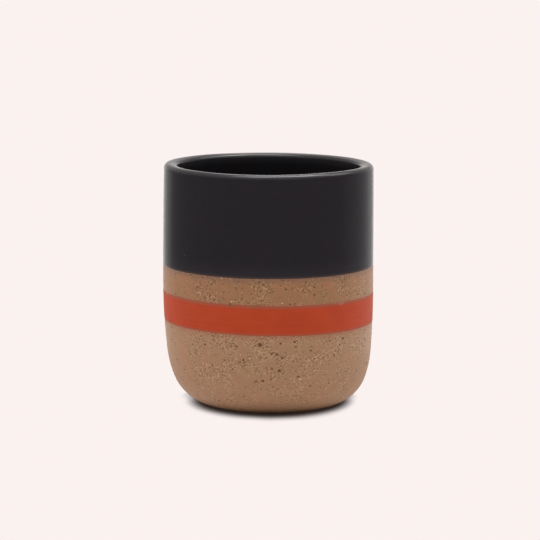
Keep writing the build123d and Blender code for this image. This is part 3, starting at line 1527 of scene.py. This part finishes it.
@dataclass(frozen=True)
class Grit:
    """The finish of single grains and spots in the clay."""

    name: str
    fresh: Colour
    worn: Colour
    roughness: float = 0.6
    ior: float = 1.12
    patches: Mottle = Mottle(1.2 * MM, 2.0)
    dust: Mottle = Mottle(0.4 * MM, 0.30, 3.0)
    dull_dust: Mottle = Mottle(0.4 * MM, 0.08)
    grain_relief: Mottle = Mottle(0.25 * MM, 0.4)
    relief_depth: float = 0.03 * MM

    def make(self, effects: Effects) -> bpy.types.Material:
        """Make the material.

        Args:
            effects: The shared shader groups.

        Returns:
            The material.
        """
        finish = Finish(self.name, effects, IOR=self.ior)
        tone = finish.graph.blend(finish.mottle(self.patches) + MIDDLE, self.fresh, self.worn)
        tone = finish.lighten(tone, finish.mottle(self.dust) + 1)
        rough = finish.mottle(self.dull_dust) + self.roughness
        return finish.shape(tone, rough, finish.mottle(self.grain_relief) + MIDDLE, self.relief_depth)


class CupPlan:
    """What the pieces of the cup share: sizes taken from the frame, marks, effects and the turning tree."""

    def __init__(self) -> None:
        """Take the sizes from the frame and build what the pieces share."""
        body_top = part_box("stoneware_body")[1]
        self.dip_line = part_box("outer_glaze")[0].z
        self.band_bottom, self.band_top = (corner.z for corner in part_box("orange_band"))
        self.section = CupSection(height=CAD_BOX[1].z, belly_radius=body_top.x)
        self.hand = HandMarks()
        self.plain_marks = EdgeMarks()
        self.dip_marks = EdgeMarks(lower_edge=self.dip_line, lower_fall=0.006, edge_wave=0.16 * MM)
        self.band_marks = EdgeMarks(
            lower_edge=self.band_bottom, upper_edge=self.band_top, lower_fall=0.013, upper_fall=0.0125,
            edge_wave=0.22 * MM, notch_angle=math.radians(-48.5), notch_width=2.0 * MM, notch_depth=0.3 * MM,
        )
        self.effects = Effects()
        self.turning = TurningTree(self.section)


@dataclass(frozen=True)
class ClayBody:
    """The thrown clay body: fine where it is bare, plain where glaze covers it."""

    plan: CupPlan
    segments: int = 448
    hidden_reach: float = 1.0 * MM

    def outline(self) -> list[Vector]:
        """Return the outline of the clay's section, open on the axis.

        Returns:
            Its points as radius and height.
        """
        section, grain = self.plan.section, Graining()
        outer, inner = section.outer_side, section.inner_side
        bare_end = outer.distance_at(self.plan.dip_line + self.hidden_reach)
        shown = outer.stations(0, bare_end, grain.shown_step, grain.shown_turn)
        covered = outer.stations(bare_end, outer.length, grain.covered_step, grain.covered_turn)
        inside = inner.stations(0, inner.length, grain.covered_step, grain.covered_turn)
        outside = [outer.lifted(mark, section.swell(outer.lifted(mark, 0).y)) for mark in shown]
        outside += [outer.lifted(mark, 0) for mark in covered[1:]]
        return [*section.underside, *outside, *(inner.lifted(mark, 0) for mark in reversed(inside[:-1]))]

    def build(self) -> bpy.types.Object:
        """Build the clay.

        Returns:
            The piece.
        """
        plan = self.plan
        clay = Stoneware().make(plan.effects, plan.dip_marks, plan.band_marks)
        mesh = plan.turning.turn(self.outline(), self.segments, clay, plan.hand, plan.plain_marks)
        return finish_piece("thrown_clay", mesh, "stoneware_body")


@dataclass(frozen=True)
class DippedGlaze:
    """The glaze that the cup was dipped in, down to its slightly wavy line."""

    plan: CupPlan
    segments: int = 512
    roll: float = 0.45 * MM
    finish: Glaze = Glaze(
        "dark_glaze", base=(0.0182, 0.0161, 0.0188, 1), warm=(0.0192, 0.0161, 0.0186, 1),
        shine_from=92.2 * MM, shine_full=93.1 * MM,
    )

    def build(self) -> bpy.types.Object:
        """Build the glaze.

        Returns:
            The piece.
        """
        plan, outer = self.plan, self.plan.section.outer_side
        start = outer.distance_at(plan.dip_line)
        coat = Coat(outer, start, outer.length, plan.section.glaze_thickness, self.roll, start_open=True)
        skin = self.finish.make(plan.effects, plan.hand, plan.dip_marks, plan.section.belly_radius)
        mesh = plan.turning.turn(coat.outline(), self.segments, skin, plan.hand, plan.dip_marks)
        return finish_piece("dipped_glaze", mesh, "outer_glaze")


@dataclass(frozen=True)
class PouredLiner:
    """The glaze that was poured inside, from the floor up to the crown of the lip."""

    plan: CupPlan
    segments: int = 320
    roll: float = 0.4 * MM
    # The liner is painted lighter just under the rim, as painted light
    finish: Glaze = Glaze(
        "liner_glaze", base=(0.0080, 0.0072, 0.0090, 1), warm=(0.0100, 0.0082, 0.0085, 1),
        shine_from=92.0 * MM, shine_full=93.2 * MM, worn_rim=2.4,
    )

    def build(self) -> bpy.types.Object:
        """Build the liner.

        Returns:
            The piece.
        """
        plan, inner = self.plan, self.plan.section.inner_side
        coat = Coat(inner, 0, inner.length, plan.section.glaze_thickness, self.roll)
        skin = self.finish.make(plan.effects, plan.hand, plan.plain_marks, plan.section.belly_radius)
        mesh = plan.turning.turn(coat.outline()[:-1], self.segments, skin, plan.hand, plan.plain_marks)
        return finish_piece("poured_liner", mesh, "liner_glaze")


@dataclass(frozen=True)
class PaintedBand:
    """The painted band, with edges that fall a little to the right and a small notch at the top."""

    plan: CupPlan
    segments: int = 1024
    roll: float = 0.3 * MM
    overrun: float = 0.45 * MM

    def build(self) -> bpy.types.Object:
        """Build the band.

        Returns:
            The piece.
        """
        plan, outer = self.plan, self.plan.section.outer_side
        start, end = (outer.distance_at(level) for level in (plan.band_bottom, plan.band_top + self.overrun))
        coat = Coat(
            outer, start, end, plan.section.band_thickness, self.roll, start_open=True, end_open=True,
        )
        paint = Slip().make(plan.effects, plan.band_marks)
        mesh = plan.turning.turn(coat.outline(), self.segments, paint, plan.hand, plan.band_marks)
        return finish_piece("painted_band", mesh, "orange_band")


@dataclass(frozen=True)
class GrainLot:
    """A lot of grains: the piece that they make, their finish, how many lie on an area, and their sizes."""

    name: str
    finish: Grit
    crowd: float
    smallest: float
    largest: float
    seed: int


@dataclass(frozen=True)
class ClayGrains:
    """Pale grog and dark iron, scattered over the bare clay."""

    plan: CupPlan
    grog: GrainLot = GrainLot(
        "grog_grains", Grit("grog_grain", fresh=(0.53, 0.35, 0.23, 1), worn=(0.42, 0.26, 0.16, 1)),
        crowd=1.5e5, smallest=0.10 * MM, largest=0.30 * MM, seed=3,
    )
    iron: GrainLot = GrainLot(
        "iron_specks",
        Grit("iron_speck", fresh=(0.095, 0.042, 0.022, 1), worn=(0.16, 0.076, 0.040, 1), roughness=0.5),
        crowd=1.0e5, smallest=0.09 * MM, largest=0.34 * MM, seed=7,
    )

    def build(self, clay: bpy.types.Object) -> None:
        """Scatter both lots.

        Args:
            clay: The clay body on which they lie.
        """
        tree, plan = GrainTree(), self.plan
        zones = {"Band Bottom": plan.band_bottom, "Band Top": plan.band_top, "Dip Line": plan.dip_line}
        for lot in (self.grog, self.iron):
            values = {
                "Material": lot.finish.make(plan.effects), "Grains Per Area": lot.crowd,
                "Smallest": lot.smallest, "Largest": lot.largest, "Seed": lot.seed,
            }
            finish_piece(lot.name, tree.scatter(clay.data, {**zones, **values}))


class Tone(Enum):
    """The three kinds of spot in the clay, with the names of their pieces."""

    IRON = "iron_spots"
    FAINT = "faint_spots"
    PALE = "pale_spots"


@dataclass(frozen=True)
class Spot:
    """A single spot on the front of the cup, placed by its offset from the axis and its height."""

    tone: Tone
    across: float
    height: float
    width: float
    tallness: float


@dataclass(frozen=True)
class SpotLook:
    """How the spots of one kind look: how far they stand out, and their finish."""

    dome: float
    finish: Grit


@dataclass(frozen=True)
class FrontSpots:
    """The larger spots of the front, set one by one. Every iron spot lies on a fainter halo."""

    plan: CupPlan
    widest_spot: float = 1.45 * MM
    halo: float = 1.45
    raggedness: float = 0.35
    rag_fineness: float = 3.0
    ball_radius: float = 0.5
    ball_fineness: int = 3
    eye_distance: float = 1.0
    iron: SpotLook = SpotLook(
        dome=0.10 * MM,
        finish=Grit("iron_spot", fresh=(0.098, 0.041, 0.018, 1), worn=(0.148, 0.065, 0.029, 1)),
    )
    faint: SpotLook = SpotLook(
        dome=0.05 * MM,
        finish=Grit("faint_spot", fresh=(0.185, 0.091, 0.045, 1), worn=(0.235, 0.121, 0.063, 1)),
    )
    pale: SpotLook = SpotLook(
        dome=0.14 * MM,
        finish=Grit("pale_spot", fresh=(0.62, 0.42, 0.31, 1), worn=(0.54, 0.35, 0.24, 1)),
    )

    def spots(self) -> list[Spot]:
        """Return the spots, the faint ones first.

        In each row, the first two numbers place the spot across and up, as shares of the cup's radius and
        height. The last two are its width and tallness, as shares of the widest round spot.

        Returns:
            The spots.
        """
        iron_shares = (
            (-0.075, 0.315, 1.00, 0.70),
            (0.080, 0.275, 0.65, 0.55),
            (0.130, 0.260, 0.50, 0.55),
            (0.115, 0.320, 0.50, 0.55),
            (0.245, 0.325, 0.55, 0.45),
            (0.100, 0.207, 0.60, 0.60),
            (-0.050, 0.163, 0.55, 0.55),
            (0.280, 0.178, 0.70, 0.40),
            (-0.295, 0.305, 0.50, 0.40),
            (-0.230, 0.250, 0.45, 0.40),
            (0.700, 0.320, 0.55, 0.55),
            (-0.590, 0.302, 0.50, 0.40),
            (0.395, 0.285, 0.50, 0.40),
            (-0.350, 0.475, 0.55, 0.40),
            (0.430, 0.515, 0.45, 0.40),
            (0.163, 0.543, 0.50, 0.45),
        )
        faint_shares = (
            (-0.350, 0.305, 0.70, 0.70),
            (0.255, 0.305, 0.95, 0.55),
            (-0.115, 0.160, 0.80, 0.75),
            (0.025, 0.170, 0.80, 0.60),
            (0.390, 0.135, 1.00, 0.55),
            (-0.260, 0.240, 0.75, 0.55),
            (0.615, 0.255, 0.70, 0.60),
            (-0.565, 0.545, 0.60, 0.45),
            (-0.155, 0.472, 1.70, 0.28),
        )
        pale_shares = (
            (-0.340, 0.490, 0.45, 0.35),
            (0.130, 0.485, 0.45, 0.35),
            (0.295, 0.168, 0.65, 0.28),
            (0.435, 0.255, 0.55, 0.30),
            (-0.255, 0.272, 0.35, 0.30),
            (-0.530, 0.500, 0.40, 0.30),
            (-0.575, 0.217, 0.40, 0.30),
        )
        halo_shares = [
            (across, up, self.halo * wide, self.halo * tall) for across, up, wide, tall in iron_shares
        ]
        kinds = {Tone.FAINT: [*faint_shares, *halo_shares], Tone.IRON: iron_shares, Tone.PALE: pale_shares}
        radius, height, widest = self.plan.section.belly_radius, self.plan.section.height, self.widest_spot
        return [
            Spot(tone, across * radius, up * height, wide * widest, tall * widest)
            for tone, rows in kinds.items() for across, up, wide, tall in rows
        ]

    def press(self, spot: Spot, dome: float, shell: bmesh.types.BMesh, trees: list[BVHTree]) -> None:
        """Add a spot to a shell, pressed into what it lies on.

        Args:
            spot: The spot.
            dome: How far it stands out.
            shell: The shell of its kind.
            trees: The surfaces on which it may lie.
        """
        eye = Vector((spot.across, -self.eye_distance, spot.height))
        hits = [tree.ray_cast(eye, Vector((0, 1, 0))) for tree in trees]
        place, normal, _, _ = min((hit for hit in hits if hit[0]), key=lambda hit: hit[3])
        turn = normal.to_track_quat("Z", "Y").to_matrix().to_4x4()
        ball = bmesh.ops.create_icosphere(shell, subdivisions=self.ball_fineness, radius=self.ball_radius)
        draw = Vector((spot.across, spot.height, 0)) / MM
        for vertex in ball["verts"]:
            ragged = 1 + self.raggedness * noise.noise(vertex.co * self.rag_fineness + draw)
            flat = Vector((vertex.co.x * spot.width, vertex.co.y * spot.tallness, 0)) * ragged
            flat.z = vertex.co.z * dome / self.ball_radius
            vertex.co = place + (turn @ flat)

    def build(self, ground: list[bpy.types.Object]) -> None:
        """Set the spots, in one piece for each kind.

        Args:
            ground: The pieces that the spots lie on.
        """
        depsgraph = bpy.context.evaluated_depsgraph_get()
        trees = [BVHTree.FromObject(piece, depsgraph) for piece in ground]
        looks = {Tone.IRON: self.iron, Tone.FAINT: self.faint, Tone.PALE: self.pale}
        shells = {tone: bmesh.new() for tone in Tone}
        for spot in self.spots():
            self.press(spot, looks[spot.tone].dome, shells[spot.tone], trees)
        for tone, shell in shells.items():
            mesh = bpy.data.meshes.new(tone.value)
            shell.to_mesh(mesh)
            shell.free()
            mesh.shade_smooth()
            mesh.materials.append(looks[tone].finish.make(self.plan.effects))
            finish_piece(tone.value, mesh)


@dataclass(frozen=True)
class Softbox:
    """A soft lamp, placed and aimed in the room. Only shiny surfaces show it."""

    name: str
    place: tuple[float, float, float]
    width: float
    height: float
    radiance: float
    aim: tuple[float, float, float] = (0.0, 0.0, 0.05)

    def build(self) -> None:
        """Hang the lamp, which no camera sees."""
        lamp = bpy.data.lights.new(self.name, "AREA")
        lamp.shape = "RECTANGLE"
        lamp.size, lamp.size_y = self.width, self.height
        lamp.energy = self.radiance * math.pi * self.width * self.height
        made = bpy.data.objects.new(self.name, lamp)
        made.location = self.place
        made.rotation_mode = "QUATERNION"
        made.rotation_quaternion = (Vector(self.aim) - Vector(self.place)).to_track_quat("-Z", "Y")
        made.visible_camera = False
        made.visible_diffuse = False
        bpy.context.scene.collection.objects.link(made)


@dataclass(frozen=True)
class Floor:
    """The pale floor, which glows like the backdrop and keeps the cup's soft shadow."""

    backdrop: Colour
    shadow: Colour = (0.022, 0.013, 0.010, 1)
    radius: float = 0.11
    segments: int = 96

    # The shadow follows how open two half domes over the floor are, which lean to the left and to the right.
    # They have a reach and a lean, a share that counts as wholly open, and a power with which they get dark.
    reach: float = 0.10
    tilt: float = math.radians(30)
    samples: int = 48
    clear_share: float = 0.72
    power: float = 2.5

    # The levels of light at which the floor is darkest and lightest. They shift at the cup's far left and
    # right, straight in front, behind it, and round one heading at its right front.
    darkest: float = 0.02
    darkest_shift: float = 0.06
    lightest_shift: float = -0.2
    front: Passage = Passage(0.1, 0.4, -0.12, 0.0)
    back: Passage = Passage(0.0, 15 * MM, 0.0, 0.45)
    back_reach: Passage = Passage(35 * MM, 38 * MM)
    heading: float = math.radians(-60)
    towards_heading: Passage = Passage(0.0, math.radians(45), 0.12, 0.0)
    heading_reach: Passage = Passage(38 * MM, 44 * MM)
    least_distance: float = 1.0 * MM

    def lightest(self, x: Number, y: Number, distance: Number, side: Number) -> Number:
        """Return the level of light at which the floor is as light as the backdrop.

        Args:
            x: The place across the floor.
            y: The place along the floor.
            distance: Its distance from the cup's axis.
            side: How far it lies towards the cup's left or right, from 0 to 1.

        Returns:
            The level.
        """
        front = (x / distance).size().along(self.front) * y.math("LESS_THAN", 0.0)
        back = y.along(self.back) * distance.along(self.back_reach)
        aside = ((y / distance).math("ARCTAN2", x / distance) - self.heading).size()
        dense = aside.along(self.towards_heading) * distance.along(self.heading_reach)
        return side * self.lightest_shift + dense + back + front + 1

    def material(self) -> bpy.types.Material:
        """Make the floor's material.

        Returns:
            The material.
        """
        material = bpy.data.materials.new("pale_floor")
        material.use_nodes = True
        material.node_tree.nodes.clear()
        graph = Graph(material.node_tree)
        lean, upright = math.sin(self.tilt), math.cos(self.tilt)
        domes = [graph.number(graph.add("ShaderNodeAmbientOcclusion", {
            "Distance": self.reach, "Normal": graph.vector(side * lean, 0.0, upright),
        }, samples=self.samples), "AO") for side in (-1, 1)]
        open_share = domes[0].math("MAXIMUM", domes[1]) / self.clear_share
        lit = open_share.math("MINIMUM", 1.0).math("POWER", self.power)
        x, y, _ = graph.axes(graph.add("ShaderNodeTexCoord").outputs["Object"])
        distance = (x * x + y * y).math("SQRT").math("MAXIMUM", self.least_distance)
        side = (x / distance).math("POWER", END_POWER)
        darkest = side * self.darkest_shift + self.darkest
        lit = lit.passing(darkest, self.lightest(x, y, distance, side), 0.0, 1.0)
        colour = graph.blend(lit, self.shadow, self.backdrop)
        glow = graph.add("ShaderNodeEmission", {"Color": colour, "Strength": 1.0})
        graph.add("ShaderNodeOutputMaterial", {"Surface": glow.outputs[0]})
        return material

    def build(self) -> None:
        """Lay the floor."""
        shell = bmesh.new()
        bmesh.ops.create_circle(shell, cap_ends=True, radius=self.radius, segments=self.segments)
        mesh = bpy.data.meshes.new("floor")
        shell.to_mesh(mesh)
        shell.free()
        mesh.materials.append(self.material())
        floor = bpy.data.objects.new("floor", mesh)
        bpy.context.scene.collection.objects.link(floor)


@dataclass(frozen=True)
class Studio:
    """The pale floor and backdrop, the soft light and the camera."""

    backdrop: Colour = (0.9647, 0.8880, 0.8714, 1)
    sky: Colour = (1.44, 1.53, 1.56, 1)
    sky_lean: float = 0.41
    sky_left: float = 0.06
    horizon: Passage = Passage(-0.02, 0.02, 0.0, 1.0)
    softboxes: tuple[Softbox, ...] = (
        Softbox("main_light", (0.065, 0.05, 0.85), 0.34, 0.70, radiance=6.8),
        Softbox("right_light", (0.55, 0.15, 0.85), 0.48, 0.70, radiance=6.0),
        Softbox("left_light", (-0.55, 0.05, 0.85), 0.80, 0.70, radiance=0.35),
        Softbox("back_panel", (-0.17, 0.985, -0.05), 1.60, 0.50, radiance=0.75, aim=(0.0, 0.0, -0.05)),
        Softbox("right_panel", (0.875, 0.485, -0.05), 1.10, 0.50, radiance=1.15, aim=(0.0, 0.0, -0.05)),
    )
    camera_place: tuple[float, float, float] = (0.0, -1.2, 0.243)
    camera_target: tuple[float, float, float] = (0.0007, 0.0, 0.052)
    sensor_width: float = 36.0
    lens: float = 206.7
    farthest_sight: float = 20.0

    def build(self) -> None:
        """Build the floor, the world, the lamps and the camera."""
        Floor(self.backdrop).build()
        self.build_world()
        for softbox in self.softboxes:
            softbox.build()
        self.build_camera()

    def build_world(self) -> None:
        """Make the world: the backdrop where it is seen or mirrored, and soft sky light elsewhere."""
        world = bpy.data.worlds.new("studio")
        bpy.context.scene.world = world
        world.use_nodes = True
        world.node_tree.nodes.clear()
        graph = Graph(world.node_tree)
        paths = graph.add("ShaderNodeLightPath")
        seen = graph.number(paths, "Is Camera Ray") + graph.number(paths, "Is Glossy Ray")
        seen = (seen + graph.number(paths, "Is Transmission Ray")).math("MINIMUM", 1.0)
        across, ahead, up = graph.axes(graph.add("ShaderNodeTexCoord").outputs["Generated"])
        level = ahead * self.sky_lean - across * self.sky_left + 1
        lit = graph.blend(1.0, self.sky, graph.vector(level, level, level), "MULTIPLY")
        sky = graph.blend(up.along(self.horizon), self.backdrop, lit)
        colour = graph.blend(seen, sky, self.backdrop)
        background = graph.add("ShaderNodeBackground", {"Color": colour, "Strength": 1.0})
        graph.add("ShaderNodeOutputWorld", {"Surface": background.outputs[0]})

    def build_camera(self) -> None:
        """Set the camera at the photograph's distance and angle."""
        data = bpy.data.cameras.new("camera")
        data.sensor_width = self.sensor_width
        data.lens = self.lens
        data.clip_end = self.farthest_sight
        camera = bpy.data.objects.new("camera", data)
        camera.location = self.camera_place
        camera.rotation_mode = "QUATERNION"
        sight = Vector(self.camera_target) - camera.location
        camera.rotation_quaternion = sight.to_track_quat("-Z", "Y")
        bpy.context.scene.collection.objects.link(camera)
        bpy.context.scene.camera = camera


def main() -> None:
    """Build the cup and its studio."""
    logging.basicConfig(level=logging.INFO, format="%(name)s %(message)s")
    plan = CupPlan()
    clay = ClayBody(plan).build()
    DippedGlaze(plan).build()
    PouredLiner(plan).build()
    band = PaintedBand(plan).build()
    ClayGrains(plan).build(clay)
    FrontSpots(plan).build([clay, band])
    Studio().build()
    bpy.context.scene.view_settings.view_transform = "Standard"
    bpy.context.view_layer.update()


if __name__ == "__main__":
    main()
